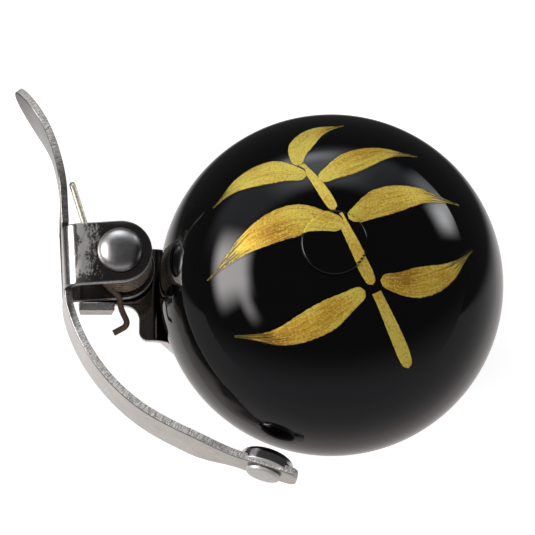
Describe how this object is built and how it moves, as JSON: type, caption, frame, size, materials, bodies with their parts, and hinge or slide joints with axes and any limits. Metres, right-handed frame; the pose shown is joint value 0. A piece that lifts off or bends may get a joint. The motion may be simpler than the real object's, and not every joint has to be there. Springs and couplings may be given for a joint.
{
  "type": "bicycle bell",
  "caption": "Handlebar bell with a glossy dome on a post, a sprung folded lever with a hammer at one end and a thumb paddle at the other, and a two-part screw clamp",
  "frame": {"origin": "the middle of the handlebar that the clamp closes on, under the dome's axis", "axes": "+Z along the dome's axis to the crown, +Y along the handlebar on the thumb paddle's side, the lever at -X"},
  "size_m": [0.0788, 0.0648, 0.0721],
  "materials": {
    "black_lacquer": "glossy black lacquer",
    "bright_nickel": "satin nickel plate",
    "dark_plate": "dark bright plate",
    "polished_steel": "polished",
    "bronze_wire": "bronze-tinted spring wire",
    "brass": "plain turned",
    "zinc": "bright zinc",
    "nylon": "natural nylon",
    "rubber": "matt"
  },
  "bodies": {
    "frame": {"bell_dome": "black_lacquer", "crown_cap": "black_lacquer", "dome_cushion": "nylon", "post": "zinc", "bracket": "dark_plate", "pivot_rivet": "polished_steel", "pivot_bush": "brass", "pivot_washer": "brass", "return_spring": "bronze_wire", "clamp_saddle": "dark_plate", "clamp_strap": "dark_plate", "saddle_liner": "rubber", "strap_liner": "rubber", "clamp_screw_left": "zinc", "clamp_nut_left": "zinc", "clamp_washer_left": "zinc", "clamp_screw_right": "zinc", "clamp_nut_right": "zinc", "clamp_washer_right": "zinc"},
    "lever": {"lever": "bright_nickel", "hammer": "polished_steel"}
  },
  "joints": [
    {"name": "lever_swing", "type": "hinge", "parent": "frame", "child": "lever", "pos_m": [-0.03344, 0.00406, 0.0326], "axis": [0, 0, 1], "range_deg": [-28, 0], "stiffness_Nm_per_rad": 0.06, "springref_deg": 20.05, "deforming": ["return_spring"]}
  ]
}
